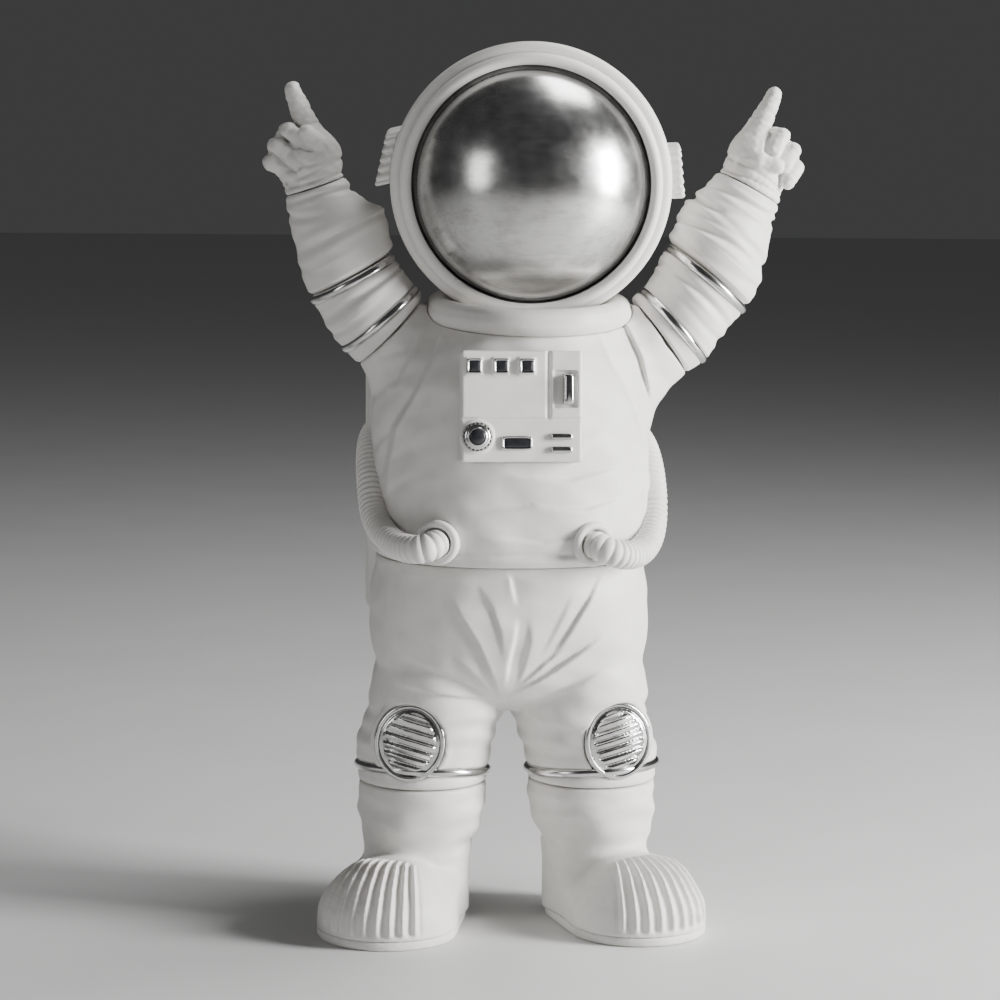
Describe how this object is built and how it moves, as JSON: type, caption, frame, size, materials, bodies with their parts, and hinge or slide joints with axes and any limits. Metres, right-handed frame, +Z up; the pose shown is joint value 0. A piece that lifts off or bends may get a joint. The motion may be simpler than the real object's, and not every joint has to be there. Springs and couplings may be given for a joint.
{
  "type": "action figure",
  "caption": "Standing figure in a soft spacesuit, arms raised and pointing up, with turning head, waist, arms, hands and boots; rests on two flat soles.",
  "frame": {"origin": "on the floor, under the middle of the whole figure's outline", "axes": "+Z up from the soles to the crown, -Y out of the visor and chest, +X towards the figure's own left hand, which is on the right seen from the front"},
  "size_m": [0.17, 0.0987, 0.2801],
  "materials": {
    "suit": "eggshell warm white vinyl",
    "hard_shell": "eggshell warm white, slightly smoother",
    "glove": "eggshell warm white, lightly grained",
    "hose": "eggshell warm white",
    "sole": "matte warm white",
    "visor": "satin silver plating",
    "silver_trim": "polished silver plating",
    "dark_window": "glossy near black",
    "swivel_plug": "plain moulded plastic, hidden inside"
  },
  "bodies": {
    "hips": {"trousers": "suit", "waist_plug": "swivel_plug", "knee_band_left": "silver_trim", "knee_band_right": "silver_trim", "knee_pad_left": "silver_trim", "knee_pad_right": "silver_trim", "knee_pad_ring_left": "silver_trim", "knee_pad_ring_right": "silver_trim", "knee_plug_left": "swivel_plug", "knee_plug_right": "swivel_plug"},
    "torso": {"jacket": "suit", "collar": "hose", "control_panel": "hard_shell", "panel_buttons": "silver_trim", "panel_slider": "silver_trim", "panel_dial": "silver_trim", "panel_light": "dark_window", "panel_keys": "silver_trim", "hose_left": "hose", "hose_right": "hose", "hose_fitting_left": "hose", "hose_fitting_right": "hose", "backpack": "hard_shell"},
    "head": {"helmet": "hard_shell", "visor": "visor", "visor_rim": "hard_shell", "ear_pod_left": "hard_shell", "ear_pod_right": "hard_shell", "neck_plug": "swivel_plug"},
    "boot_left": {"boot_left": "suit", "sole_left": "sole"},
    "upper_arm_left": {"upper_sleeve_left": "suit", "lower_band_left": "silver_trim", "upper_band_left": "silver_trim", "shoulder_plug_left": "swivel_plug", "elbow_plug_left": "swivel_plug"},
    "forearm_left": {"forearm_sleeve_left": "suit", "wrist_plug_left": "swivel_plug"},
    "hand_left": {"glove_left": "glove"},
    "boot_right": {"boot_right": "suit", "sole_right": "sole"},
    "upper_arm_right": {"upper_sleeve_right": "suit", "lower_band_right": "silver_trim", "upper_band_right": "silver_trim", "shoulder_plug_right": "swivel_plug", "elbow_plug_right": "swivel_plug"},
    "forearm_right": {"forearm_sleeve_right": "suit", "wrist_plug_right": "swivel_plug"},
    "hand_right": {"glove_right": "glove"}
  },
  "joints": [
    {"name": "waist_turn", "type": "hinge", "parent": "hips", "child": "torso", "pos_m": [-0.0073, -0.003, 0.119], "axis": [0, 0, 1], "range_deg": [-15, 15]},
    {"name": "neck_turn", "type": "hinge", "parent": "torso", "child": "head", "pos_m": [-0.0024, -0.009, 0.2378], "axis": [0, -0.0872, 0.9962], "range_deg": [-20, 20]},
    {"name": "boot_turn_left", "type": "hinge", "parent": "hips", "child": "boot_left", "pos_m": [-0.0346, -0.003, 0.0455], "axis": [0, 0, 1], "range_deg": [-25, 15]},
    {"name": "shoulder_turn_left", "type": "hinge", "parent": "torso", "child": "upper_arm_left", "pos_m": [-0.0458, -0.003, 0.1895], "axis": [-0.7193, 0, 0.6947], "range_deg": [-90, 90]},
    {"name": "forearm_turn_left", "type": "hinge", "parent": "upper_arm_left", "child": "forearm_left", "pos_m": [-0.0584, -0.003, 0.2073], "axis": [-0.4848, 0, 0.8746], "range_deg": [-60, 60]},
    {"name": "wrist_turn_left", "type": "hinge", "parent": "forearm_left", "child": "hand_left", "pos_m": [-0.0683, -0.003, 0.235], "axis": [-0.3256, 0, 0.9455], "range_deg": [-90, 90]},
    {"name": "boot_turn_right", "type": "hinge", "parent": "hips", "child": "boot_right", "pos_m": [0.02, -0.003, 0.0455], "axis": [0, 0, 1], "range_deg": [-15, 25]},
    {"name": "shoulder_turn_right", "type": "hinge", "parent": "torso", "child": "upper_arm_right", "pos_m": [0.0395, -0.003, 0.188], "axis": [0.7986, 0, 0.6018], "range_deg": [-90, 90]},
    {"name": "forearm_turn_right", "type": "hinge", "parent": "upper_arm_right", "child": "forearm_right", "pos_m": [0.0553, -0.003, 0.2075], "axis": [0.6293, 0, 0.7771], "range_deg": [-60, 60]},
    {"name": "wrist_turn_right", "type": "hinge", "parent": "forearm_right", "child": "hand_right", "pos_m": [0.0691, -0.003, 0.2343], "axis": [0.4772, 0, 0.8788], "range_deg": [-90, 90]}
  ]
}
